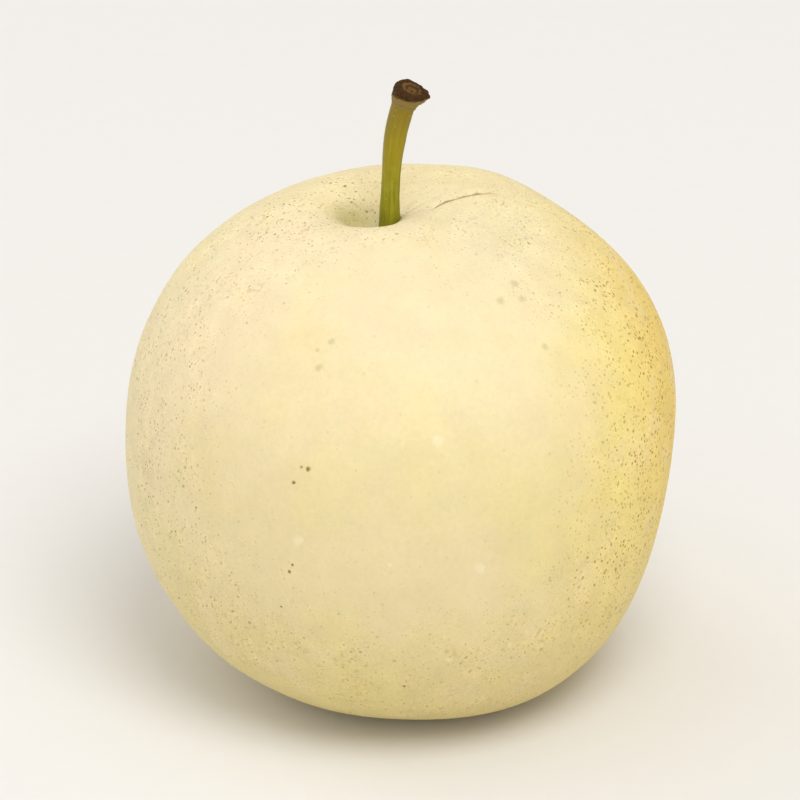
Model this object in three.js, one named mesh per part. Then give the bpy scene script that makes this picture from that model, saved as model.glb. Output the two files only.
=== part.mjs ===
// A nashi pear standing upright on its base: one round, pale-skinned fruit with its clipped stem.
// Millimetres, +Z up. The origin is under the middle of the pear, on the surface that it rests on.
import * as THREE from "three";
import { mergeVertices } from "three/addons/utils/BufferGeometryUtils.js";

const { degToRad, smoothstep } = THREE.MathUtils;

// Fruit: its distance from its middle is a cosine series in the angle from the stem's axis.
const FORM = [
  43.2, // mean radius
  -1, // the base is heavier than the crown
  -0.75, // wider than tall
  0.2, // the shoulders slope
  -1.05, // fuller between belly and ends, so squarer
  0.6, // and more so below than above
];

// Hollows at the two ends: the stem cavity, and the calyx basin with the scar of the fallen calyx.
const CAVITY_DEPTH = 6.6;
const CAVITY_SPREAD = 7;
const CAVITY_PLACE = [-4.4, 0.4]; // from the core, so that the stem stands by the cavity's right wall
const BASIN_DEPTH = 5;
const BASIN_SPREAD = 7.2;
const SCAR_DEPTH = 1.6;
const SCAR_SPREAD = 2.4;
const REST_CUT = 0.35; // how much of the lowest ring is pressed flat, so that the pear stands

// The core is swayed sideways, and five faint lobes follow the five seed chambers.
const SWAY = [2.3, 2, -5.8]; // along +X, for the first three powers of a ring's rise
const LOBES = 5;
const LOBE_SHARE = 0.015; // of the radius, at the two ends
const LOBE_TURN = degToRad(16);

// One shoulder stands higher, behind the stem and to its right.
const SHOULDER_LIFT = 1.8;
const SHOULDER_PLACE = [14, 15];
const SHOULDER_SPREAD = 9;

// Stem: thick at its foot, slim at its waist, and flared to one side where it left the spur.
const STEM_WAIST = 1.36;
const STEM_FOOT_SWELL = 0.45;
const STEM_FOOT_REACH = 0.24; // this and the next three are shares of the stem's length
const STEM_NECK_START = 0.35;
const STEM_NECK_END = 0.8;
const STEM_KNOB_START = 0.86;
const STEM_NECK_SWELL = 0.42;
const STEM_KNOB_SWELL = 0.45;
const STEM_SPUR = 1.3; // how far the knob's lip is drawn out on its outer side
const STEM_EDGE = 0.5; // rounding of the knob's rim
const STEM_TIP_ABOVE_CROWN = 18.2;
const STEM_BEND = [0, 0.1, 3.2]; // sideways from the foot, for the curve's last three points
const STEM_NOD = [0, -0.4, -2.2]; // the same towards the front
const STEM_CLIMB = [0.36, 0.76]; // heights of the two middle points, as shares of the stem's height

// The stem's foot stands in a plain socket in the cavity's floor, clear of it all round.
const SOCKET_DEPTH = 4;
const SOCKET_GAP = 0.35;
const SOCKET_RIM = 1.1; // the closest ring of skin round it, as a share of its radius

const JOIN_TOLERANCE = 1e-3;
const FRUIT_SEGMENTS = 80;
const FRUIT_RINGS = 46;
const STEM_SEGMENTS = 20;
const STEM_RINGS = 22;

const hill = (height, spread, distance) => height * Math.exp(-((distance / spread) ** 2));

// A ring's rise runs from -1 at the base through 0 at the belly to 1 at the crown.
const swayAt = (rise) => SWAY.reduce((sum, share, power) => sum + share * rise ** (power + 1), 0);

// The ring of skin at an angle from the stem's axis, with the calyx basin sunk into the base.
function ringAt(angle) {
  const distance = FORM.reduce((sum, share, turns) => sum + share * Math.cos(turns * angle), 0);
  const rise = Math.cos(angle);
  const radius = distance * Math.sin(angle);
  const basin = hill(BASIN_DEPTH, BASIN_SPREAD, radius) + hill(SCAR_DEPTH, SCAR_SPREAD, radius);
  return { radius, rise, height: distance * rise + (rise < 0 ? basin : 0) };
}

// What stands proud of the plain crown or is sunk into it, at a place seen from above.
function crownRelief(x, y) {
  const [cavityX, cavityY] = CAVITY_PLACE;
  const [shoulderX, shoulderY] = SHOULDER_PLACE;
  const cavity = hill(CAVITY_DEPTH, CAVITY_SPREAD, Math.hypot(x - cavityX, y - cavityY));
  const lift = hill(SHOULDER_LIFT, SHOULDER_SPREAD, Math.hypot(x - shoulderX, y - shoulderY));
  return lift - cavity;
}

const crown = ringAt(0).height;
const stemX = swayAt(1);
const socketRadius = STEM_WAIST + STEM_FOOT_SWELL + SOCKET_GAP;
const socketFloor = crown + crownRelief(stemX, 0) - SOCKET_DEPTH;

// The rings of the fruit from the calyx scar up over the belly and down into the stem's socket.
function fruitRings() {
  const rings = [{ ...ringAt(Math.PI), radius: 0 }];
  for (let k = 1; k < FRUIT_RINGS; k++) {
    const step = (2 * k) / FRUIT_RINGS - 1;
    const latitude = (Math.PI / 2) * Math.sin((step * Math.PI) / 2); // closer together at both ends
    const ring = ringAt(Math.PI / 2 - latitude);
    if (ring.rise < 0 || ring.radius > socketRadius * SOCKET_RIM) rings.push(ring);
  }
  const lowest = Math.min(...rings.map((ring) => ring.height)) + REST_CUT;
  for (const ring of rings) ring.height = Math.max(ring.height, lowest);
  rings.push({ radius: socketRadius, rise: 1, height: crown });
  rings.push({ radius: socketRadius, rise: 1, height: socketFloor, inside: true });
  rings.push({ radius: 0, rise: 1, height: socketFloor, inside: true });
  return { rings, lowest };
}

// One closed skin over a turned geometry, whose seam and poles are joined.
function closed(geometry) {
  geometry.deleteAttribute("uv");
  geometry.deleteAttribute("normal");
  const joined = mergeVertices(geometry, JOIN_TOLERANCE);
  joined.computeVertexNormals();
  return joined;
}

// A profile of (radius, height) pairs turned about +Z, with each point then moved by its own ring.
function turned(rings, segments, move) {
  const profile = rings.map((ring) => new THREE.Vector2(ring.radius, ring.height));
  const geometry = new THREE.LatheGeometry(profile, segments).rotateX(Math.PI / 2);
  const position = geometry.attributes.position;
  const point = new THREE.Vector3();
  for (let i = 0; i < position.count; i++) {
    point.fromBufferAttribute(position, i);
    move(point, rings[i % rings.length]);
    position.setXYZ(i, point.x, point.y, point.z);
  }
  return closed(geometry);
}

function fruitGeometry(rings) {
  return turned(rings, FRUIT_SEGMENTS, (point, ring) => {
    const turn = Math.atan2(point.y, point.x) - LOBE_TURN;
    const lobe = 1 + LOBE_SHARE * ring.rise ** 2 * Math.cos(LOBES * turn);
    point.set(point.x * lobe + swayAt(ring.rise), point.y * lobe, point.z);
    if (ring.rise > 0 && !ring.inside) point.z += crownRelief(point.x, point.y);
  });
}

// The stem's centreline, from its foot in the socket to its knob.
function stemCurve() {
  const foot = new THREE.Vector3(stemX, 0, socketFloor + SOCKET_GAP);
  const height = crown + STEM_TIP_ABOVE_CROWN - foot.z;
  const shares = [...STEM_CLIMB, 1];
  const [low, high, tip] = shares.map(
    (share, i) => new THREE.Vector3(foot.x + STEM_BEND[i], STEM_NOD[i], foot.z + share * height),
  );
  return new THREE.CubicBezierCurve3(foot, low, high, tip);
}

function stemRadius(share) {
  const foot = hill(STEM_FOOT_SWELL, STEM_FOOT_REACH, share);
  const neck = STEM_NECK_SWELL * smoothstep(share, STEM_NECK_START, STEM_NECK_END);
  const knob = STEM_KNOB_SWELL * smoothstep(share, STEM_KNOB_START, 1);
  return STEM_WAIST + foot + neck + knob;
}

// The stem is turned straight, then each of its rings is carried to its place on the centreline.
function stemGeometry() {
  const curve = stemCurve();
  const length = curve.getLength();
  const rings = [{ radius: 0, height: 0 }];
  for (let k = 0; k <= STEM_RINGS; k++) {
    const share = k / STEM_RINGS;
    rings.push({ radius: stemRadius(share), height: share * length });
  }
  const rim = rings.at(-1);
  rings.push({ radius: rim.radius - STEM_EDGE, height: length + STEM_EDGE });
  rings.push({ radius: 0, height: length + STEM_EDGE });

  const side = new THREE.Vector3();
  const front = new THREE.Vector3();
  return turned(rings, STEM_SEGMENTS, (point, ring) => {
    const share = Math.min(1, ring.height / length);
    const centre = curve.getPointAt(share);
    const along = curve.getTangentAt(share);
    front.set(0, 1, 0).addScaledVector(along, -along.y).normalize();
    side.crossVectors(front, along);
    const outer = Math.max(0, point.x / rim.radius);
    const spur = STEM_SPUR * outer * smoothstep(share, STEM_KNOB_START, 1);
    const beyond = ring.height - share * length;
    const { x, y } = point;
    point.copy(centre).addScaledVector(side, x + spur).addScaledVector(front, y);
    point.addScaledVector(along, beyond);
  });
}

function piece(name, geometry, material) {
  const mesh = new THREE.Mesh(geometry, material);
  mesh.name = name;
  return mesh;
}

const { rings, lowest } = fruitRings();
const skin = new THREE.MeshStandardMaterial({ color: 0xf5e4b2, roughness: 0.45, metalness: 0 });
const bark = new THREE.MeshStandardMaterial({ color: 0x99902b, roughness: 0.7, metalness: 0 });
const fruit = piece("fruit", fruitGeometry(rings), skin);
const stem = piece("stem", stemGeometry(), bark);

// The whole pear is set down on its base, with the middle of the fruit over the origin.
const pear = new THREE.Group();
pear.add(fruit, stem);
const middle = new THREE.Box3().setFromObject(fruit).getCenter(new THREE.Vector3());
pear.position.set(-middle.x, -middle.y, -lowest);

export default pear;
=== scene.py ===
import bisect
import math

import bmesh
import bpy
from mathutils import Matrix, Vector, noise
from mathutils.geometry import interpolate_bezier


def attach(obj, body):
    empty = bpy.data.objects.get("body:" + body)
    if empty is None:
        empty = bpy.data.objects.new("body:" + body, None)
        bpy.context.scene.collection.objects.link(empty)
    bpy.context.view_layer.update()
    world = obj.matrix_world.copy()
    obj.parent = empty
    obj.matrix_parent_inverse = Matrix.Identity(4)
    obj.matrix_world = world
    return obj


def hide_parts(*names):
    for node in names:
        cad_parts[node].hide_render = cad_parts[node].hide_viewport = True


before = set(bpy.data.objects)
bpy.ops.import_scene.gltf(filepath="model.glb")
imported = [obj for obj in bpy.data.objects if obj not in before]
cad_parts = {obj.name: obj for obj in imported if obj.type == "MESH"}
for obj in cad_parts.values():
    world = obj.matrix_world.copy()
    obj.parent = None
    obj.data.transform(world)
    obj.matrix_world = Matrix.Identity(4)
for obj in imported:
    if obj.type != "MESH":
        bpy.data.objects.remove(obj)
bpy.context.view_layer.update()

# A nashi pear standing on its base, with its clipped stem.
# Lengths are in millimetres until a mesh is done. The lights, the camera and the floor are in metres.
MM = 0.001
CORE = Vector((-0.115, 0, 40.492))  # the middle of the fruit's form, from the origin under the pear

# The fruit: its distance from its middle is a cosine series in the angle from the stem's axis.
FORM = (43.2, -1, -0.75, 0.2, -1.05, 0.6)
CAVITY_DEPTH, CAVITY_SPREAD, CAVITY_PLACE = 6.6, 7, (-4.4, 0.4)
SHOULDER_LIFT, SHOULDER_SPREAD, SHOULDER_PLACE = 1.8, 9, (14, 15)
BASIN_DEPTH, BASIN_SPREAD = 5, 7.2
SCAR_DEPTH, SCAR_SPREAD = 1.6, 2.4
REST_CUT, REST_BLEND = 0.35, 0.06  # how much of the lowest ring is pressed flat, and how softly
SWAY = (2.3, 2, -5.8)  # of the core along +X, for the first three powers of a ring's rise
LOBES, LOBE_SHARE, LOBE_TURN = 5, 0.015, math.radians(16)
FRUIT_SEGMENTS = 280
FRUIT_RINGS = 280
JOIN_DISTANCE = 1e-4

# The skin's undulation, which fades out towards the stem and the base.
SWELL, SWELL_SIZE = 0.24, 17
DIMPLE, DIMPLE_SIZE = 0.06, 5.5
CALM_STEM = (2, 5)
CALM_BASE = (0.3, 8)

# Puckers that run into the stem cavity, and the fold to the right of the stem.
PUCKERS, PUCKER_HEIGHT, PUCKER_RING, PUCKER_SPREAD = 9, 0.1, 5, 2.6
PUCKER_DRIFT, PUCKER_TURN = 2.2, 0.7
CROWN_START = (1.9, 3)  # how far from the stem these begin
CREASE_FROM, CREASE_TO, CREASE_FADE = 4.4, 15.6, 0.7
CREASE_ORIGIN = 5.25
CREASE_LINE = (-2.75, 1.06, -0.0265)  # y in powers of x from the crease's origin
CREASE_DEPTH, CREASE_WIDTH = 0.3, 0.55
CREASE_LIP, CREASE_LIP_WIDTH, CREASE_LIP_PLACE = 0.2, 0.9, 1.1

# Folds in the wall of the calyx basin, and its corky scar with a rim, rings, cracks and a pit.
BASIN_REACH = 12
FOLDS, FOLD_HEIGHT, FOLD_RING, FOLD_SPREAD, FOLD_DRIFT = 10, 0.35, 6.5, 2.6, 1.7
CORK_RADIUS, CORK_WAVE, CORK_WAVES, CORK_EDGE = 4.9, 1, 2.3, 0.3
CORK_LIFT, CORK_ROUGH, CORK_GRAIN = 0.2, 0.16, 0.9
CORK_RIM, CORK_RIM_WIDTH, CORK_RIM_DARK = 0.28, 0.5, 0.45
CORK_RING, CORK_RING_PITCH, CORK_RING_DARK = 0.07, 1.2, 0.3
CORK_RING_DRIFT, CORK_DRIFT_SIZE = 2.5, 2
CRACKS, CRACK_DEPTH, CRACK_WIDTH = 14, 0.25, 0.14
CRACK_BEND, CRACK_BENDS, CRACK_CLIMB = 0.25, 1.7, 0.4
CRACK_DRAWS, CRACK_DRAWN = 3.1, (-0.5, 0.3)  # which of the cracks are open
CRACK_START, CRACK_END = (1.2, 2.2), (-0.9, 0.5)  # from the middle, and from the cork's edge
CRACK_CORK, CRACK_DARK = 0.6, 0.7
PIT_DEPTH, PIT_RADIUS, PIT_DARK = 0.8, 0.95, 0.9
PIT_LOBES, PIT_LOBE_SHARE, PIT_SLOPE = 5, 0.2, (0.4, 1.3)

# The stem: thick at its foot, slim at its waist, and flared where it was clipped.
STEM_WAIST = 1.36
STEM_FOOT_SWELL, STEM_FOOT_REACH = 0.45, 0.24
STEM_NECK_SWELL, STEM_NECK = 0.42, (0.35, 0.8)
STEM_KNOB_SWELL, STEM_KNOB = 0.45, (0.86, 1)
STEM_SPUR, SPUR_LIFT, SPUR_POINT = 0.95, 0.35, 5  # the knob's lip, drawn out to a point on the right
STEM_HEEL, HEEL_DROP, HEEL_POINT = 0.35, 0.45, 2  # and drawn down on the left
STEM_EDGE, EDGE_RINGS = 0.5, 5
STEM_TIP_ABOVE_CROWN = 18.2
STEM_BEND = (0, 0.1, 3.2)
STEM_NOD = (0, -0.4, -2.2)
STEM_CLIMB = (0.36, 0.76, 1)
STEM_SEGMENTS = 72
STEM_RINGS = 200
STEM_LINE_POINTS = 400
SOCKET_DEPTH, SOCKET_GAP = 4, 0.35
SOCKET_FIT, SOCKET_RIM, SOCKET_LIP = 0.07, 1.06, 0.6

# A ring's mark is its share of the stem's length, then runs on over the knob's edge and its end.
EDGE_MARK = 0.1
FACE_MARK = 1 + EDGE_MARK
END_HOLLOW, END_HOLLOW_REACH, END_RINGS = 0.45, 0.7, 18
SWIRL_HEIGHT, SWIRL_PITCH, SWIRL_START = 0.1, 0.7, 0.1
SWIRL_WOBBLE, SWIRL_WOBBLE_SIZE = 0.4, 1

# The bark: ribs that twist a little, rings on the neck, and a rough knob.
RIBS, RIB_HEIGHT, RIB_DRIFT, RIB_TWIST = 11, 0.03, 1.3, 0.02
FINE_RIBS, FINE_RIB_SHARE, FINE_RIB_TURN = 17, 0.6, 0.9
BARK_ROUGH, BARK_GRAIN, BARK_STRETCH, BARK_START = 0.06, 0.9375, 0.35, (0.16, 0.26)
KNOB_ROUGH, KNOB_GRAIN, KNOB_FINER, KNOB_START = 0.13, 0.8, 2.3, (0.87, 0.95)
NECK_RING, NECK_RING_PITCH = 0.06, 0.026
NECK_RINGS_PLACE, NECK_RINGS_REACH = 0.925, 0.03


def hill(height, spread, distance):
    return height * math.exp(-((distance / spread) ** 2))


def ease(value, start, end):
    share = min(1, max(0, (value - start) / (end - start)))
    return share * share * (3 - 2 * share)


def sway_at(rise):
    return sum(share * rise ** (power + 1) for power, share in enumerate(SWAY))


def ring_at(angle):
    """Radius, height and rise of the ring of skin at an angle from the stem's axis."""
    distance = sum(share * math.cos(turns * angle) for turns, share in enumerate(FORM))
    rise = math.cos(angle)
    radius = distance * math.sin(angle)
    basin = hill(BASIN_DEPTH, BASIN_SPREAD, radius) + hill(SCAR_DEPTH, SCAR_SPREAD, radius)
    return radius, distance * rise + (basin if rise < 0 else 0), rise


def crown_relief(x, y):
    """The stem cavity and the higher shoulder, at a place seen from above."""
    cavity = hill(CAVITY_DEPTH, CAVITY_SPREAD, math.dist((x, y), CAVITY_PLACE))
    return hill(SHOULDER_LIFT, SHOULDER_SPREAD, math.dist((x, y), SHOULDER_PLACE)) - cavity


CROWN = ring_at(0)[1]
STEM_X = sway_at(1)
BASIN_X = sway_at(-1)
SOCKET_FLOOR = CROWN + crown_relief(STEM_X, 0) - SOCKET_DEPTH


def stem_radius(share):
    foot = hill(STEM_FOOT_SWELL, STEM_FOOT_REACH, share)
    neck = STEM_NECK_SWELL * ease(share, *STEM_NECK)
    return STEM_WAIST + foot + neck + STEM_KNOB_SWELL * ease(share, *STEM_KNOB)


def spun(profile, segments, layers):
    """A closed turned mesh of (radius, height, ...) rings; what follows is kept in the named layers."""
    mesh = bmesh.new()
    kept = [mesh.verts.layers.float.new(name) for name in layers]
    chain = []
    for radius, height, *values in profile:
        vertex = mesh.verts.new((radius, 0, height))
        for layer, value in zip(kept, values):
            vertex[layer] = value
        chain.append(vertex)
    edges = [mesh.edges.new(pair) for pair in zip(chain, chain[1:])]
    bmesh.ops.spin(
        mesh, geom=chain + edges, axis=(0, 0, 1), angle=math.tau, steps=segments, use_merge=True
    )
    bmesh.ops.remove_doubles(mesh, verts=mesh.verts, dist=JOIN_DISTANCE)
    bmesh.ops.recalc_face_normals(mesh, faces=mesh.faces)
    for face in mesh.faces:
        face.smooth = True
    return mesh, kept


def in_place(mesh):
    """A finished mesh, carried to its place above the origin and made metres."""
    bmesh.ops.translate(mesh, vec=CORE, verts=mesh.verts)
    bmesh.ops.scale(mesh, vec=(MM, MM, MM), verts=mesh.verts)
    return mesh


def fruit_profile():
    """Rings from the calyx scar over the belly to the stem and down round its foot, and the resting height.

    A ring is its radius, its height, its rise and whether it is inside the socket.
    """
    fit = stem_radius(SOCKET_DEPTH / (CROWN + STEM_TIP_ABOVE_CROWN - SOCKET_FLOOR)) + SOCKET_FIT
    rings = [(0, ring_at(math.pi)[1], -1, 0)]
    for k in range(1, FRUIT_RINGS):
        step = 2 * k / FRUIT_RINGS - 1
        latitude = math.pi / 2 * math.sin(step * math.pi / 2)  # closer together at both ends
        radius, height, rise = ring_at(math.pi / 2 - latitude)
        if rise < 0 or radius > fit * SOCKET_RIM:
            rings.append((radius, height, rise, 0))
    lowest = min(height for _, height, _, _ in rings) + REST_CUT
    rings.append((fit, CROWN, 1, 0))
    rings.append((fit, SOCKET_FLOOR + SOCKET_DEPTH - SOCKET_LIP, 1, 1))
    rings.append((stem_radius(0) + SOCKET_FIT, SOCKET_FLOOR, 1, 1))
    rings.append((0, SOCKET_FLOOR, 1, 1))
    return rings, lowest


def crease_relief(x, y):
    """The shallow fold in the skin to the right of the stem, with its low lips."""
    along = (x - CREASE_FROM) / (CREASE_TO - CREASE_FROM)
    if not 0 < along < 1:
        return 0
    span = x - CREASE_ORIGIN
    first, slope, bow = CREASE_LINE
    tilt = slope + 2 * bow * span
    off = (y - first - slope * span - bow * span * span) / math.hypot(1, tilt)
    groove = hill(CREASE_DEPTH, CREASE_WIDTH, off)
    lip = hill(CREASE_LIP, CREASE_LIP_WIDTH, abs(off) - CREASE_LIP_PLACE)
    return (lip - groove) * math.sin(math.pi * along) ** CREASE_FADE


def crown_detail(x, y):
    """Faint puckers that run down into the cavity, and the fold beside it."""
    out = math.dist((x, y), (STEM_X, 0))
    turn = math.atan2(y, x - STEM_X)
    wave = math.cos(PUCKERS * turn + PUCKER_DRIFT * math.sin(2 * turn + PUCKER_TURN))
    puckers = wave * hill(PUCKER_HEIGHT, PUCKER_SPREAD, out - PUCKER_RING)
    return ease(out, *CROWN_START) * (puckers + crease_relief(x, y))


def grain_at(x, y, layer, size):
    """Flat noise of a given size, from -1 to 1, from a layer of its own."""
    return noise.noise(Vector((x, y, layer)) / size)


def crack_at(out, turn, heading, edge):
    """How far a place on the cork is in one of the cracks that run out from its middle."""
    bent = turn + CRACK_BEND * noise.noise(heading * CRACK_BENDS + Vector((0, 0, CRACK_CLIMB * out)))
    gap = 2 * out / CRACKS * abs(math.sin(CRACKS * bent / 2))
    drawn = ease(noise.noise(heading * CRACK_DRAWS), *CRACK_DRAWN)
    return drawn * ease(out, *CRACK_START) * (1 - ease(out - edge, *CRACK_END)) * hill(1, CRACK_WIDTH, gap)


def basin_detail(x, y):
    """Relief of the calyx basin, with how far a place is cork and how dark that cork is."""
    out = math.dist((x, y), (BASIN_X, 0))
    turn = math.atan2(y, x - BASIN_X)
    heading = Vector((math.cos(turn), math.sin(turn), 0))
    fold = math.cos(FOLDS * turn + FOLD_DRIFT * math.sin(3 * turn))
    edge = CORK_RADIUS + CORK_WAVE * noise.noise(heading * CORK_WAVES)
    cork = 1 - ease(out - edge, -CORK_EDGE, CORK_EDGE)
    rim = hill(1, CORK_RIM_WIDTH, out - edge)
    grain = grain_at(x, y, 3, CORK_GRAIN) + grain_at(x, y, 9, CORK_GRAIN / 2) / 2
    drift = CORK_RING_DRIFT * grain_at(x, y, 6, CORK_DRIFT_SIZE)
    ring = math.cos(math.tau * out / CORK_RING_PITCH + drift)
    crack = crack_at(out, turn, heading, edge)
    star = out * (1 - PIT_LOBE_SHARE * math.cos(PIT_LOBES * turn))
    pit = 1 - ease(star / PIT_RADIUS, *PIT_SLOPE)
    relief = fold * hill(FOLD_HEIGHT, FOLD_SPREAD, out - FOLD_RING) + CORK_RIM * rim
    relief += cork * (CORK_LIFT + CORK_ROUGH * grain + CORK_RING * ring)
    relief -= CRACK_DEPTH * crack + PIT_DEPTH * pit
    dark = (PIT_DARK * pit, CRACK_DARK * crack, CORK_RIM_DARK * rim, CORK_RING_DARK * ease(-ring, 0, 1))
    return relief, max(cork, CRACK_CORK * crack), max(dark)


def rested(height):
    """A height above the table, eased so that the lowest ring of skin lies flat on it."""
    return (height + math.sqrt(height * height + REST_BLEND * REST_BLEND)) / 2


def fruit_mesh():
    profile, lowest = fruit_profile()
    mesh, (rises, insides) = spun(profile, FRUIT_SEGMENTS, ("rise", "inside"))
    corks = mesh.verts.layers.float.new("cork")
    cork_darks = mesh.verts.layers.float.new("cork_dark")
    for vertex in mesh.verts:
        x, y, z = vertex.co
        rise = vertex[rises]
        lobe = 1 + LOBE_SHARE * rise * rise * math.cos(LOBES * (math.atan2(y, x) - LOBE_TURN))
        x, y = x * lobe + sway_at(rise), y * lobe
        if rise > 0 and not vertex[insides]:
            z += crown_relief(x, y)
        vertex.co = (x, y, z)
    mesh.normal_update()
    for vertex in mesh.verts:
        if vertex[insides]:
            continue
        here = vertex.co.copy()
        seen = (here.x, here.y)
        relief = SWELL * noise.noise(here / SWELL_SIZE) + DIMPLE * noise.noise(here / DIMPLE_SIZE)
        relief *= ease(here.z - lowest, *CALM_BASE)
        if here.z > 0:
            relief *= ease(math.dist(seen, (STEM_X, 0)), *CALM_STEM)
            relief += crown_detail(*seen)
        elif math.dist(seen, (BASIN_X, 0)) < BASIN_REACH:
            basin, vertex[corks], vertex[cork_darks] = basin_detail(*seen)
            relief += basin
        vertex.co = here + relief * vertex.normal
        vertex.co.z = lowest + rested(vertex.co.z - lowest)
    return in_place(mesh)


class StemLine:
    """The stem's centreline from its foot in the socket to its knob, measured along its length."""

    def __init__(self):
        foot = Vector((STEM_X, 0, SOCKET_FLOOR + SOCKET_GAP))
        height = CROWN + STEM_TIP_ABOVE_CROWN - foot.z
        low, high, tip = (
            Vector((foot.x + bend, nod, foot.z + climb * height))
            for bend, nod, climb in zip(STEM_BEND, STEM_NOD, STEM_CLIMB)
        )
        self.points = interpolate_bezier(foot, low, high, tip, STEM_LINE_POINTS)
        self.reached = [0]
        for start, end in zip(self.points, self.points[1:]):
            self.reached.append(self.reached[-1] + (end - start).length)
        self.length = self.reached[-1]

    def frame_at(self, share):
        """The centre, and the directions sideways, backwards and along, at a share of the length."""
        reach = share * self.length
        k = min(max(1, bisect.bisect_left(self.reached, reach)), len(self.points) - 1)
        start, end = self.points[k - 1], self.points[k]
        part = (reach - self.reached[k - 1]) / (self.reached[k] - self.reached[k - 1])
        along = (end - start).normalized()
        back = (Vector((0, 1, 0)) - along * along.y).normalized()
        return start.lerp(end, part), back.cross(along), back, along


def stem_profile(length):
    """Rings of the straight stem, with their marks, from its foot over the knob to the middle of its end."""
    rings = [(0, 0, 0)]
    for k in range(STEM_RINGS + 1):
        share = k / STEM_RINGS
        rings.append((stem_radius(share), share * length, share))
    rim = stem_radius(1)
    for k in range(1, EDGE_RINGS + 1):
        share = k / EDGE_RINGS
        angle = math.pi / 2 * share
        radius = rim - STEM_EDGE * (1 - math.cos(angle))
        rings.append((radius, length + STEM_EDGE * math.sin(angle), 1 + EDGE_MARK * share))
    for k in range(1, END_RINGS + 1):
        share = k / END_RINGS
        face = length + STEM_EDGE - END_HOLLOW * ease(share, 0, END_HOLLOW_REACH)
        rings.append(((rim - STEM_EDGE) * (1 - share), face, FACE_MARK + share))
    return rings


def bark_relief(place, share):
    """Ribs and grain of the bark, rings on the neck and lumps on the knob, on the straight stem."""
    twist = math.atan2(place.y, place.x) + RIB_TWIST * place.z
    rib = math.cos(RIBS * twist + RIB_DRIFT * math.sin(2 * twist))
    rib += FINE_RIB_SHARE * math.cos(FINE_RIBS * twist + FINE_RIB_TURN)
    grain = noise.noise(Vector((place.x, place.y, place.z * BARK_STRETCH)) / BARK_GRAIN)
    bark = (RIB_HEIGHT * rib + BARK_ROUGH * grain) * ease(share, *BARK_START)
    lumps = noise.noise(place / KNOB_GRAIN) + noise.noise(place / KNOB_GRAIN * KNOB_FINER) / 2
    ring = math.cos(math.tau * share / NECK_RING_PITCH)
    rings = ring * hill(NECK_RING, NECK_RINGS_REACH, share - NECK_RINGS_PLACE)
    return bark + rings + KNOB_ROUGH * lumps * ease(share, *KNOB_START)


def swirl_at(x, y):
    """The spiral grain of the clipped end, from -1 in its grooves to 1 on its ridges."""
    wobble = SWIRL_WOBBLE * grain_at(x, y, 5, SWIRL_WOBBLE_SIZE)
    turns = math.hypot(x, y) / SWIRL_PITCH + wobble
    return math.cos(math.atan2(y, x) + math.tau * turns)


def stem_mesh():
    line = StemLine()
    mesh, (marks,) = spun(stem_profile(line.length), STEM_SEGMENTS, ("along",))
    straight = mesh.verts.layers.float_vector.new("straight")
    swirls = mesh.verts.layers.float.new("swirl")
    mesh.normal_update()
    rim = stem_radius(1)
    for vertex in mesh.verts:
        here = vertex.co.copy()
        vertex[straight] = here
        share = min(1, vertex[marks])
        vertex[swirls] = swirl_at(here.x, here.y) * ease(vertex[marks] - FACE_MARK, 0, SWIRL_START)
        rough = here + vertex.normal * (bark_relief(here, share) + SWIRL_HEIGHT * vertex[swirls])
        centre, side, back, along = line.frame_at(share)
        knob = ease(share, *STEM_KNOB)
        spur = max(0, rough.x / rim) ** SPUR_POINT * knob
        heel = max(0, -rough.x / rim) ** HEEL_POINT * knob
        beyond = rough.z - share * line.length + SPUR_LIFT * spur - HEEL_DROP * heel
        outward = rough.x + STEM_SPUR * spur - STEM_HEEL * heel
        vertex.co = centre + side * outward + back * rough.y + along * beyond
    return in_place(mesh)


def tone(red, green, blue):
    """A colour as seen, from 0 to 255, as the linear colour that a shader takes."""
    shares = (value / 255 for value in (red, green, blue))
    linear = [share / 12.92 if share <= 0.04045 else ((share + 0.055) / 1.055) ** 2.4 for share in shares]
    return (*linear, 1)


class Value:
    """A number or colour that varies over a finish. Arithmetic on it adds Math nodes."""

    def __init__(self, finish, socket):
        self.finish = finish
        self.socket = socket

    def other(self, name):
        """Another output of the same node."""
        return Value(self.finish, self.socket.node.outputs[name])

    def __add__(self, value):
        return self.finish.math("ADD", self, value)

    def __radd__(self, value):
        return self.finish.math("ADD", value, self)

    def __sub__(self, value):
        return self.finish.math("SUBTRACT", self, value)

    def __rsub__(self, value):
        return self.finish.math("SUBTRACT", value, self)

    def __mul__(self, value):
        return self.finish.math("MULTIPLY", self, value)

    def __rmul__(self, value):
        return self.finish.math("MULTIPLY", value, self)

    def __abs__(self):
        return self.finish.math("ABSOLUTE", self, 0)

    def below(self, value):
        return self.finish.math("LESS_THAN", self, value)


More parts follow.
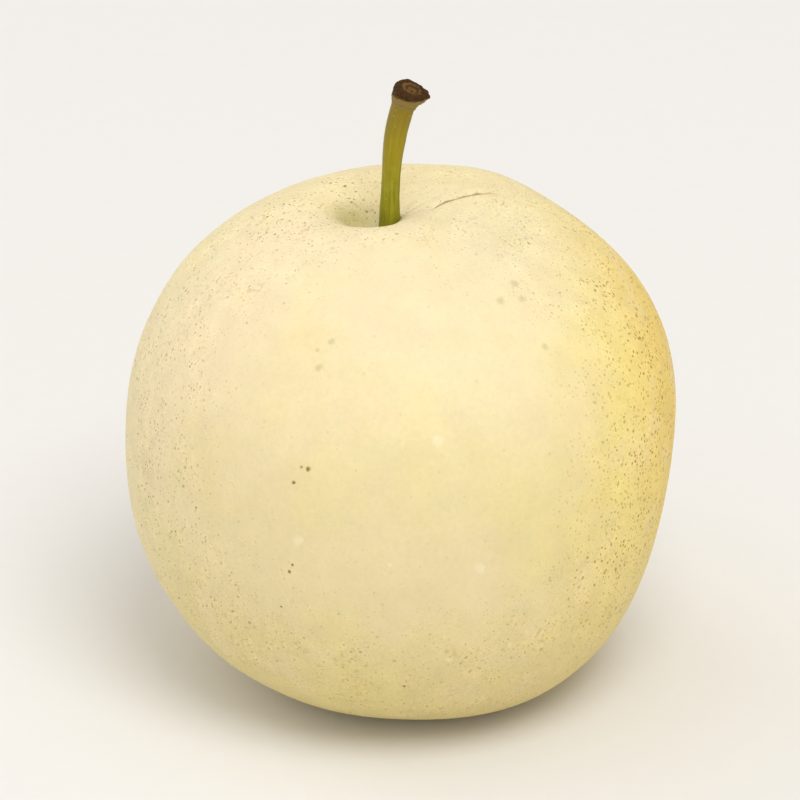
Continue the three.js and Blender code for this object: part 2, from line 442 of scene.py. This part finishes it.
class Finish:
    """The nodes of one material or of the studio's light, and the shader that they feed."""

    def __init__(self, owner, shader="Principled BSDF"):
        owner.use_nodes = True
        self.owner = owner
        self.tree = owner.node_tree
        self.shader = self.tree.nodes[shader]

    def node(self, kind, settings, sockets, out=0):
        made = self.tree.nodes.new(kind)
        for name, value in settings.items():
            setattr(made, name, value)
        self.fill(made, sockets)
        return Value(self, made.outputs[out])

    def fill(self, made, sockets):
        for name, value in sockets.items():
            if isinstance(value, Value):
                self.tree.links.new(value.socket, made.inputs[name])
            else:
                made.inputs[name].default_value = value

    def math(self, operation, first, second):
        return self.node("ShaderNodeMath", {"operation": operation}, {0: first, 1: second})

    def step(self, value, start, full, strength=1):
        """A smooth step from 0 where a value is at its start to a strength where it is full."""
        return self.node(
            "ShaderNodeMapRange",
            {"interpolation_type": "SMOOTHSTEP"},
            {"Value": value, "From Min": start, "From Max": full, "To Max": strength},
        )

    def mix(self, mask, base, over):
        return self.node("ShaderNodeMix", {"data_type": "RGBA"}, {0: mask, 6: base, 7: over}, 2)

    def tint(self, base, strength):
        """A colour made lighter or darker by a number that varies."""
        grey = self.node("ShaderNodeCombineColor", {}, {0: strength, 1: strength, 2: strength})
        return self.node(
            "ShaderNodeMix", {"data_type": "RGBA", "blend_type": "MULTIPLY"}, {0: 1, 6: base, 7: grey}, 2
        )

    def vector(self, operation, first, second):
        return self.node("ShaderNodeVectorMath", {"operation": operation}, {0: first, 1: second})

    def measure(self, operation, first, second):
        """A number worked out from two vectors, such as how far apart they are."""
        return self.node("ShaderNodeVectorMath", {"operation": operation}, {0: first, 1: second}, 1)

    def noise(self, place, size, detail=2):
        return self.node("ShaderNodeTexNoise", {}, {"Vector": place, "Scale": 1 / size, "Detail": detail})

    def channels(self, texture):
        """The red, green and blue of a texture's colour, as numbers."""
        return self.node("ShaderNodeSeparateColor", {}, {"Color": texture.other("Color")})

    def stirred(self, place, texture, amount):
        """A place moved about by the colours of a texture, by up to an amount each way."""
        shift = self.vector("SUBTRACT", texture.other("Color"), (0.5, 0.5, 0.5))
        spread = (2 * amount, 2 * amount, 2 * amount)
        return self.node(
            "ShaderNodeVectorMath", {"operation": "MULTIPLY_ADD"}, {0: shift, 1: spread, 2: place}
        )

    def cells(self, place, size):
        """How far the middle of the nearest cell of a loose grid is, and that cell's own random numbers."""
        near = self.node("ShaderNodeTexVoronoi", {}, {"Vector": place, "Scale": 1 / size})
        return near, self.channels(near)

    def dots(self, cells, share, radii, soft):
        """Dots in a share of the cells. Their radii and soft edge are in cells."""
        near, draws = cells
        smallest, largest = radii
        radius = draws.other("Green") * (largest - smallest) + smallest
        return self.step(radius - near, 0, soft) * draws.below(share)

    def spots(self, place, marks, sharp):
        """Single spots, each at a point and of a radius, full within a sharp share of that radius."""
        return sum(
            self.step(self.measure("DISTANCE", place, point), radius, radius * sharp)
            for point, radius in marks
        )

    def attribute(self, name, out="Fac"):
        return self.node("ShaderNodeAttribute", {"attribute_name": name}, {}, out)

    def millimetres(self):
        """Where a point of the surface is, in millimetres, and its three coordinates."""
        metres = self.node("ShaderNodeTexCoord", {}, {}, "Object")
        place = self.node("ShaderNodeVectorMath", {"operation": "SCALE"}, {0: metres, "Scale": 1 / MM})
        split = self.node("ShaderNodeSeparateXYZ", {}, {"Vector": place})
        return place, split, split.other("Y"), split.other("Z")

    def bumped(self, height):
        """The surface's normal, with a height in millimetres laid on it."""
        return self.node("ShaderNodeBump", {}, {"Strength": 1, "Distance": MM, "Height": height})


# The skin's colours as seen.
CREAM = tone(229, 214, 162)
# painted light: a paler cream for the crown, which the light falls on from above
TOP_LIGHT_CREAM = tone(236, 223, 181)
# peach: the skin's own tone in random patches and flecks, and a painted highlight on the upper left
PEACH_TONE_AND_SHEEN = tone(234, 214, 174)
# butter yellow: the skin's own tone in random patches, and painted reflected light on the right side
BUTTER_TONE_AND_BOUNCE = tone(240, 218, 116)
# painted warm shade and reflected light for the far right rim
RIM_GOLD_SHADE = tone(230, 192, 78)
# painted warm shade for the right side
WARM_SHADE_AMBER = tone(224, 184, 76)
# leaf green: the skin's own tone in random flecks, and painted shade low down
LEAF_TONE_AND_SHADE = tone(214, 197, 128)
# painted shade: a darker tan for the lower sides
LOW_SHADE_STRAW = tone(212, 186, 104)
SPOT = tone(132, 116, 38)
BROWN_SPOT = tone(158, 116, 0)
DARK_SPOT = tone(110, 84, 16)
PALE_SPOT = tone(250, 240, 208)
# painted shade: dark olive for the stem cavity and round the stem's foot, over greener skin
CAVITY_SHADE_OLIVE = tone(150, 144, 66)
CREASE = tone(118, 106, 54)
CORK = tone(138, 108, 66)
CORK_PALE = tone(176, 148, 102)
CORK_DARK = tone(66, 46, 24)

# The sizes of the skin's noises.
PATCH_SIZE, TONE_SIZE, MOTTLE_SIZE, GRAIN_SIZE, WANDER_SIZE = 24, 6.5, 4.5, 0.8, 1.6

# Each colour comes in from a start to where it is full, and is so strong there. A start and a full
# value are a height, a place across, a distance from a point, or a level of a noise.
# painted light: the crown turns paler from this height up
TOP_LIGHT_RISE = (44, 78)
PEACH_PATCHES = (0.42, 0.6, 0.3)
# painted highlight: a peach tint round a point on the upper left, where the light falls brightest
PEACH_SHEEN_PLACE, PEACH_SHEEN_LEFT = (-26, -20, 64), (40, 12, 0.4)
PEACH_FLECKS = (0.48, 0.7, 0.25)
# painted reflected light: butter yellow growing towards the right side
BUTTER_BOUNCE_RIGHT = (16, 44, 0.75)
BUTTER_PATCHES = (0.5, 0.32, 0.12)
BUTTER_BACK = (-8, 14, 0.15)
# painted warm shade and reflected light: deep gold at the far right rim
RIM_GOLD_SHADE_RIGHT = (35, 44, 0.3)
# painted warm shade: a ragged amber patch round a point on the right side
WARM_SHADE_PLACE, WARM_SHADE_SPAN, WARM_SHADE_RAGGED = (42, 4, 52), (34, 8), 12
WARM_SHADE_LEAST, WARM_SHADE_PATCHES = 0.1, 0.55
# painted shade: greener and darker from this height down to the base
LEAF_SHADE_LOW = (36, 4, 0.6)
LEAF_FLECKS = (0.5, 0.75, 0.12)
# painted shade: tan growing downwards on the sides
LOW_SHADE_SPAN = (48, 18, 0.15)
# painted shade in the stem cavity, mottled, and round the stem's foot
CAVITY_SHADE_PLACE, CAVITY_SHADE_SPAN = (-7, 1.6, 76), (5.8, 1)
CAVITY_SHADE_LEAST, CAVITY_SHADE_MOTTLE = 0.15, 0.9
FOOT_SHADE_PLACE, FOOT_SHADE_SPAN = (-1.6, 0, 76.6), (2.8, 1.7, 0.5)

# Where the fine specks gather: away from the clear front, round the crest and at the two edges.
FRONT_PLACE, SIDES = (0, -40, 58), (21, 43)
GATHERED_LEAST, GATHERED = 0.65, (0.4, 0.62, 0.7)
CREST_PLACE, CREST_NEAR = (-12, 1, 79), (18, 6)
RIGHT_EDGE, LEFT_EDGE = (20, 38), (-20, -38, 0.3)
SPECKS_LEAST, SPECKS_SIDES, SPECKS_CREST, SPECKS_EDGES = 0.03, 0.4, 0.3, 0.25
SPECKS_BROWN = (14, 34)
SPECKS_RAGGED = 0.32

# The fine and the coarse specks: the size of a cell, the share of cells, then radii and edge in cells.
FINE_CELL, FINE_SHARE, FINE_RADII, FINE_SOFT, FINE_GROWTH = 0.68, 0.95, (0.14, 0.42), 0.25, 0.1
COARSE_CELL, COARSE_SHARE, COARSE_RADII, COARSE_SOFT, COARSE_GROWTH = 1.4, 0.35, (0.1, 0.25), 0.15, 0.05
COARSE_SIDES, COARSE_EXTRA = 0.45, 0.08
HALO = 2
NETTING, NETTING_SIDES, NETTING_CREST = (0.53, 0.7), 0.22, 0.08

# Single spots, each at a point and of a radius.
DARK_SHARP, DARK_STRENGTH = 0.3, 0.85
DARK_SPOTS = (
    ((-13.8, -38.9, 53.6), 0.5),
    ((-14.9, -38.5, 53.7), 0.34),
    ((-16.0, -38.7, 51.2), 0.42),
    ((-16.3, -39.6, 37.7), 0.4),
    ((-16.8, -39.3, 36.3), 0.38),
    ((0.7, -36.9, 15.3), 0.32),
    ((-31.2, -29.4, 42.2), 0.32),
    ((-9.9, -41.7, 41.7), 0.26),
    ((-18.1, -37.8, 29.6), 0.3),
)
SOFT_SHARP, SOFT_STRENGTH = 0.2, 0.26
SOFT_SPOTS = (
    ((-12.3, -31.7, 67.1), 0.85),
    ((-10.4, -29.1, 70.2), 0.75),
    ((-12.5, -29.7, 69.1), 0.5),
    ((17.4, -18.0, 74.7), 1.0),
    ((15.3, -22.1, 73.7), 1.0),
    ((18.5, -20.4, 73.2), 0.9),
    ((21.9, -26.1, 67.9), 0.85),
    ((-22.8, -16.0, 72.6), 0.55),
    ((-10.2, -13.8, 78.6), 0.55),
    ((30.2, -22.1, 63.7), 0.55),
    ((7.1, -39.3, 22.6), 0.65),
)
PALE_SHARP, PALE_STRENGTH, PALE_DRIFT = 0.4, 0.32, 1.5
PALE_SPOTS = (
    ((-15.5, -40.0, 42.0), 1.0),
    ((5.9, -39.3, 58.8), 1.3),
    ((12.1, -40.9, 37.7), 1.1),
    ((16.5, -36.2, 21.8), 0.8),
    ((7.1, -38.5, 20.3), 0.9),
    ((-1.2, -42.8, 39.3), 0.6),
)

# The line in the fold: how it wanders, and where along the fold it starts and ends.
LINE_FLAT, LINE_WANDER, LINE_RAGGED = 0.72, 0.35, 0.3
LINE_WIDTH, LINE_START, LINE_END = (0.3, 0, 0.75), (-1.2, 0.8), (10.6, 6.2)
LINE_HIGH = (60, 66)

# The corky scar: its pale patches, its fine dark lines, and how far it covers the skin.
SCAR_PALE, SCAR_LINES, SCAR_COVER = (0.35, 0.62), (0.06, 0.01, 0.25), 0.95

# How bright the skin is, how rough, and how its fine relief stands out.
LIGHT_LEAST, LIGHT_MOTTLE, LIGHT_GRAIN = 0.9, 0.1, 0.1
LIGHT_SIDES, LIGHT_SIDES_NOISE, LIGHT_HALO = 0.015, 0.14, 0.06
ROUGH_LEAST, ROUGH_MOTTLE, ROUGH_SPECKS, ROUGH_CORK = 0.5, 0.1, 0.12, 0.3
BUMP_GRAIN, BUMP_FINE, BUMP_COARSE, BUMP_CORK = 0.05, 0.02, 0.03, 0.3


class Skin(Finish):
    """The fruit's skin, with the noises and masks that its layers share."""

    def __init__(self):
        super().__init__(bpy.data.materials.new("pear_skin"))
        self.place, self.x, self.y, self.z = self.millimetres()
        self.patches = self.noise(self.place, PATCH_SIZE)
        self.mottle = self.noise(self.place, MOTTLE_SIZE, 3)
        self.grain = self.noise(self.place, GRAIN_SIZE)
        self.tones = self.channels(self.noise(self.place, TONE_SIZE))
        gathered = GATHERED_LEAST + self.step(self.tones.other("Blue"), *GATHERED)
        self.sides = self.near(FRONT_PLACE, *SIDES) * gathered
        self.crest = self.near(CREST_PLACE, *CREST_NEAR)
        self.edges = self.step(self.x, *RIGHT_EDGE) + self.step(self.x, *LEFT_EDGE)
        self.ragged = self.stirred(self.place, self.grain, SPECKS_RAGGED)
        self.cork = self.attribute("cork")

    def near(self, point, *span):
        """A mask by the distance from a point."""
        return self.step(self.measure("DISTANCE", self.place, point), *span)

    def ground(self):
        """Cream with random peach, butter and leaf patches, with painted light paler on the crown, a painted
        peach highlight on the upper left, painted warm reflection and shade on the right, and painted shade
        greener low down.
        """
        # painted light: paler on the crown, where the light falls from above
        colour = self.mix(self.step(self.z, *TOP_LIGHT_RISE), CREAM, TOP_LIGHT_CREAM)
        # random peach patches, plus a painted peach highlight on the upper left
        peach = self.step(self.patches, *PEACH_PATCHES) + self.near(PEACH_SHEEN_PLACE, *PEACH_SHEEN_LEFT)
        colour = self.mix(peach, colour, PEACH_TONE_AND_SHEEN)
        # painted reflected light in butter yellow towards the right, plus random butter patches and a little
        # towards the back
        butter_and_bounce = self.step(self.x, *BUTTER_BOUNCE_RIGHT) + self.step(self.patches, *BUTTER_PATCHES)
        colour = self.mix(butter_and_bounce + self.step(self.y, *BUTTER_BACK), colour, BUTTER_TONE_AND_BOUNCE)
        # painted warm shade and reflected light on the far right rim
        colour = self.mix(self.step(self.x, *RIM_GOLD_SHADE_RIGHT), colour, RIM_GOLD_SHADE)
        # painted warm shade: amber on the right side, broken up by noise
        ragged = self.measure("DISTANCE", self.place, WARM_SHADE_PLACE) + (self.mottle - 0.5) * WARM_SHADE_RAGGED
        warm_shade = self.step(ragged, *WARM_SHADE_SPAN) * (WARM_SHADE_LEAST + WARM_SHADE_PATCHES * self.patches)
        colour = self.mix(warm_shade, colour, WARM_SHADE_AMBER)
        # painted shade: greener and darker low down
        colour = self.mix(self.step(self.z, *LEAF_SHADE_LOW), colour, LEAF_TONE_AND_SHADE)
        # painted shade: darker tan low on the sides
        colour = self.mix(self.step(self.z, *LOW_SHADE_SPAN) * self.sides, colour, LOW_SHADE_STRAW)
        colour = self.mix(self.step(self.tones, *PEACH_FLECKS), colour, PEACH_TONE_AND_SHEEN)
        return self.mix(self.step(self.tones.other("Green"), *LEAF_FLECKS), colour, LEAF_TONE_AND_SHADE)

    def shaded_hollow(self, colour):
        """Dark olive in the stem cavity and round the stem's foot: painted shade, over skin that is greener
        there.
        """
        # painted shade in the cavity, mottled, then darker round the stem's foot
        green = self.near(CAVITY_SHADE_PLACE, *CAVITY_SHADE_SPAN) * (CAVITY_SHADE_LEAST + CAVITY_SHADE_MOTTLE * self.mottle)
        return self.mix(self.near(FOOT_SHADE_PLACE, *FOOT_SHADE_SPAN), self.mix(green, colour, CAVITY_SHADE_OLIVE), CAVITY_SHADE_OLIVE)

    def speck_masks(self):
        """The fine specks, the paler skin close round them, and the coarse specks."""
        cells = self.cells(self.ragged, FINE_CELL)
        smallest, largest = FINE_RADII
        largest = largest + FINE_GROWTH * self.edges
        fine = self.dots(cells, FINE_SHARE, (smallest, largest), FINE_SOFT)
        halo = self.dots(cells, FINE_SHARE, (HALO * smallest, HALO * largest), FINE_SOFT)
        cells = self.cells(self.ragged, COARSE_CELL)
        smallest, largest = COARSE_RADII
        largest = largest + COARSE_GROWTH * self.edges
        share = COARSE_SHARE + COARSE_SIDES * self.sides
        return fine, halo, self.dots(cells, share, (smallest, largest), COARSE_SOFT)

    def specks(self, colour, fine, coarse):
        """Specks and a fine netting over the skin, browner on the right."""
        brown = self.mix(self.step(self.x, *SPECKS_BROWN), SPOT, BROWN_SPOT)
        strength = SPECKS_LEAST + SPECKS_SIDES * self.sides
        strength = strength + SPECKS_CREST * self.crest + SPECKS_EDGES * self.edges
        netting = NETTING_SIDES * self.sides + NETTING_CREST * self.crest
        netting = self.step(self.grain, *NETTING) * netting
        colour = self.mix(netting + fine * strength, colour, brown)
        return self.mix(coarse * (strength + COARSE_EXTRA), colour, brown)

    def single_spots(self, colour):
        drifted = self.stirred(self.place, self.mottle, PALE_DRIFT)
        pale = self.spots(drifted, PALE_SPOTS, PALE_SHARP) * PALE_STRENGTH
        soft = self.spots(self.ragged, SOFT_SPOTS, SOFT_SHARP) * SOFT_STRENGTH
        dark = self.spots(self.ragged, DARK_SPOTS, DARK_SHARP) * DARK_STRENGTH
        colour = self.mix(pale, colour, PALE_SPOT)
        return self.mix(dark, self.mix(soft, colour, SPOT), DARK_SPOT)

    def crease(self, colour):
        """The dark line in the fold to the right of the stem."""
        span = self.x - (CREASE_ORIGIN + CORE.x)
        first, slope, bow = CREASE_LINE
        wander = self.noise(self.place, WANDER_SIZE) - 0.5
        off = (self.y - first - slope * span - bow * span * span) * LINE_FLAT + wander * LINE_WANDER
        ends = self.step(span, *LINE_START) * self.step(span, *LINE_END) * self.step(self.z, *LINE_HIGH)
        line = self.step(abs(off) + wander * LINE_RAGGED, *LINE_WIDTH) * ends
        return self.mix(line, colour, CREASE)

    def scar(self, colour):
        """Cork over the calyx scar."""
        cork = self.mix(self.step(self.mottle, *SCAR_PALE), CORK, CORK_PALE)
        cork = self.mix(self.step(abs(self.grain - 0.5), *SCAR_LINES), cork, CORK_DARK)
        cork = self.mix(self.attribute("cork_dark"), cork, CORK_DARK)
        return self.mix(self.cork * SCAR_COVER, colour, cork)


def skin_finish():
    skin = Skin()
    fine, halo, coarse = skin.speck_masks()
    colour = skin.specks(skin.shaded_hollow(skin.ground()), fine, coarse)
    colour = skin.scar(skin.crease(skin.single_spots(colour)))
    uneven = (skin.grain + skin.mottle - 1) * LIGHT_SIDES_NOISE
    light = LIGHT_LEAST + skin.mottle * LIGHT_MOTTLE + skin.grain * LIGHT_GRAIN
    light = light + skin.sides * (LIGHT_SIDES + uneven + halo * LIGHT_HALO)
    rough = ROUGH_LEAST + skin.mottle * ROUGH_MOTTLE + fine * ROUGH_SPECKS + skin.cork * ROUGH_CORK
    height = skin.grain * (BUMP_GRAIN + skin.cork * BUMP_CORK) + fine * BUMP_FINE + coarse * BUMP_COARSE
    skin.fill(
        skin.shader,
        {
            "Base Color": skin.tint(colour, light),
            "Roughness": rough,
            "Normal": skin.bumped(height),
            "Subsurface Weight": 0.25,
            "Subsurface Radius": (1, 0.6, 0.28),
            "Subsurface Scale": 0.003,
            "Specular IOR Level": 0.32,
        },
    )
    return skin.owner


# The stem's colours as seen.
STEM_GREEN = tone(152, 149, 30)
STEM_DEEP = tone(124, 119, 16)
STEM_PALE = tone(174, 166, 62)
STEM_MID = tone(166, 142, 28)
STEM_NECK_BROWN = tone(126, 102, 32)
STEM_RING = tone(138, 112, 74)
# a deeper green low on the stem, partly the bark's own colour and partly painted shade where it meets the
# skin
STEM_FOOT_SHADE = tone(96, 100, 12)
KNOB_BROWN = tone(102, 70, 24)
KNOB_DARK = tone(56, 34, 8)
KNOB_PITH = tone(126, 94, 50)

# The bark's noises: fibres drawn out along the stem, blotches and grit.
FIBRE_SIZE, FIBRE_STRETCH = 0.55, (1, 1, 0.07)
BLOTCH_SIZE, GRIT_SIZE = 2.2, 0.45

# Where the stem's colours come in: a start, where each is full and how strong it is there. Most are
# rings' marks along the stem, with the edge between two colours made ragged by a noise.
FIBRES_LIGHT = (0.3, 0.72)
BLOTCHES_PALE = (0.52, 0.7, 0.25)
MID_RISE, NECK_RISE, RISE_RAGGED = (0.36, 0.6, 0.55), (0.6, 0.88, 0.6), 0.12
LENTICEL_CELL, LENTICEL_SHARE, LENTICEL_RADII, LENTICEL_SOFT = 1.1, 0.7, (0.1, 0.24), 0.12
LENTICEL_STRENGTH = 0.55
# painted shade, with the bark's own deeper green, growing towards the stem's foot
STEM_FOOT_SHADE_SPAN = (0.26, 0.17, 0.45)
KNOB_SLANT = 0.008  # the knob's cork reaches lower on the left
RING_MARK, RING_REACH, RING_RAGGED = 0.945, (0.05, 0.015, 0.6), 0.03
KNOB_EDGE, KNOB_RAGGED = (0.965, 0.985), 0.03
KNOB_LIGHT = (0.36, 0.62)
PITH, PITH_RAGGED = (1.2, 1.45, 0.6), 0.3
SWIRL_DARK = (0.3, -0.8, 0.7)
RIM_MARK, RIM_DARK = 1.08, (0.16, 0.03, 0.75)
BARK_FIBRES, BARK_LENTICELS, BARK_GRIT, KNOB_GRIT = 0.08, 0.03, 0.03, 0.2
BARK_ROUGHNESS, KNOB_ROUGHNESS, FIBRE_ROUGHNESS = 0.52, 0.3, 0.2


def knob_colour(bark, along, grit):
    """Dark cork at the stem's clipped end, with paler pith and a swirl on its face."""
    colour = bark.mix(bark.step(grit, *KNOB_LIGHT), KNOB_DARK, KNOB_BROWN)
    colour = bark.mix(bark.step(along + (grit - 0.5) * PITH_RAGGED, *PITH), colour, KNOB_PITH)
    colour = bark.mix(bark.step(bark.attribute("swirl"), *SWIRL_DARK), colour, KNOB_DARK)
    return bark.mix(bark.step(abs(along - RIM_MARK), *RIM_DARK), colour, KNOB_DARK)


def bark_finish():
    bark = Finish(bpy.data.materials.new("stem_bark"))
    along = bark.attribute("along")
    straight = bark.attribute("straight", "Vector")
    fibres = bark.noise(bark.vector("MULTIPLY", straight, FIBRE_STRETCH), FIBRE_SIZE, 3)
    blotch = bark.noise(straight, BLOTCH_SIZE, 3)
    grit = bark.noise(straight, GRIT_SIZE, 3)
    cells = bark.cells(straight, LENTICEL_CELL)
    lenticels = bark.dots(cells, LENTICEL_SHARE, LENTICEL_RADII, LENTICEL_SOFT)

    colour = bark.mix(bark.step(fibres, *FIBRES_LIGHT), STEM_DEEP, STEM_GREEN)
    colour = bark.mix(bark.step(blotch, *BLOTCHES_PALE), colour, STEM_PALE)
    rise = along + (blotch - 0.5) * RISE_RAGGED
    colour = bark.mix(bark.step(rise, *MID_RISE), colour, STEM_MID)
    colour = bark.mix(bark.step(rise, *NECK_RISE), colour, STEM_NECK_BROWN)
    colour = bark.mix(lenticels * LENTICEL_STRENGTH, colour, STEM_PALE)
    # deeper green towards the foot: the bark's own colour and painted shade where the stem enters the skin
    colour = bark.mix(bark.step(along, *STEM_FOOT_SHADE_SPAN), colour, STEM_FOOT_SHADE)
    level = along - KNOB_SLANT * bark.node("ShaderNodeSeparateXYZ", {}, {"Vector": straight})
    ring = abs(level + (blotch - 0.5) * RING_RAGGED - RING_MARK)
    colour = bark.mix(bark.step(ring, *RING_REACH), colour, STEM_RING)
    knob = bark.step(level + (grit - 0.5) * KNOB_RAGGED, *KNOB_EDGE)
    colour = bark.mix(knob, colour, knob_colour(bark, along, grit))

    height = (fibres * BARK_FIBRES + lenticels * BARK_LENTICELS) * (1 - knob)
    bark.fill(
        bark.shader,
        {
            "Base Color": colour,
            "Roughness": BARK_ROUGHNESS + knob * KNOB_ROUGHNESS + (fibres - 0.5) * FIBRE_ROUGHNESS,
            "Normal": bark.bumped(height + grit * (BARK_GRIT + knob * KNOB_GRIT)),
            "Specular IOR Level": 0.22,
        },
    )
    return bark.owner


FLOOR = (0.81, 0.8, 0.785, 1)
FLOOR_HALF_WIDTH, FLOOR_SQUARES = 4, 8
PAPER_GRAIN, PAPER_LIGHT, PAPER_FIBRES = 3, 0.99, 0.02


def floor_finish():
    paper = Finish(bpy.data.materials.new("floor_paper"))
    place, *_ = paper.millimetres()
    light = PAPER_LIGHT + paper.noise(place, PAPER_GRAIN, 3) * PAPER_FIBRES
    paper.fill(
        paper.shader, {"Base Color": paper.tint(FLOOR, light), "Roughness": 0.85, "Specular IOR Level": 0.2}
    )
    return paper.owner


def shown(name, mesh, material):
    data = bpy.data.meshes.new(name)
    mesh.to_mesh(data)
    mesh.free()
    data.materials.append(material)
    made = bpy.data.objects.new(name, data)
    bpy.context.scene.collection.objects.link(made)
    return made


fruit = shown("pear_fruit", fruit_mesh(), skin_finish())
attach(fruit, "root")
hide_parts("fruit")

stem = shown("pear_stem", stem_mesh(), bark_finish())
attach(stem, "root")
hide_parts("stem")

sheet = bmesh.new()
bmesh.ops.create_grid(sheet, x_segments=FLOOR_SQUARES, y_segments=FLOOR_SQUARES, size=FLOOR_HALF_WIDTH)
floor = shown("floor", sheet, floor_finish())

# The camera looks down on the pear from the front, and the lights face the same point.
CAMERA_RISE = math.radians(26)
CAMERA_DISTANCE = 1.2
CAMERA_AIM = Vector((0, 0, 0.0462))
FIELD_WIDTH = 0.1248
SENSOR = 36


def area_light(name, place, size, watts, colour):
    lamp = bpy.data.lights.new(name, "AREA")
    lamp.shape = "DISK"
    lamp.size = size
    lamp.energy = watts
    lamp.color = colour
    made = bpy.data.objects.new(name, lamp)
    made.location = place
    made.rotation_euler = (CAMERA_AIM - Vector(place)).to_track_quat("-Z", "Y").to_euler()
    bpy.context.scene.collection.objects.link(made)


area_light("rim_light", place=(-1.3, 0.9, 0.8), size=1, watts=3.4, colour=(1, 0.98, 0.96))
area_light("key_light", place=(0.38, -1.0, 1.8), size=1.2, watts=19.5, colour=(1, 0.985, 0.96))

# The studio's even light, warmer and dimmer towards the back right.
STUDIO_LIGHT = (1, 1, 1, 1)
STUDIO_SHADE = (0.72, 0.65, 0.54, 1)
SHADE_SIDE, SHADE_SPAN = (0.68, 0.72, -0.15), (-0.2, 0.9)

studio = Finish(bpy.data.worlds.new("studio"), "Background")
towards = studio.node("ShaderNodeTexCoord", {}, {}, "Generated")
shade = studio.step(studio.measure("DOT_PRODUCT", towards, SHADE_SIDE), *SHADE_SPAN)
studio.fill(studio.shader, {"Color": studio.mix(shade, STUDIO_LIGHT, STUDIO_SHADE), "Strength": 0.8})
bpy.context.scene.world = studio.owner
bpy.context.scene.view_settings.view_transform = "Standard"

lens = bpy.data.cameras.new("camera")
lens.sensor_width = SENSOR
lens.lens = SENSOR * CAMERA_DISTANCE / FIELD_WIDTH
camera = bpy.data.objects.new("camera", lens)
back = Vector((0, -math.cos(CAMERA_RISE), math.sin(CAMERA_RISE)))
camera.location = CAMERA_AIM + back * CAMERA_DISTANCE
camera.rotation_euler = (-back).to_track_quat("-Z", "Y").to_euler()
bpy.context.scene.collection.objects.link(camera)
bpy.context.scene.camera = camera
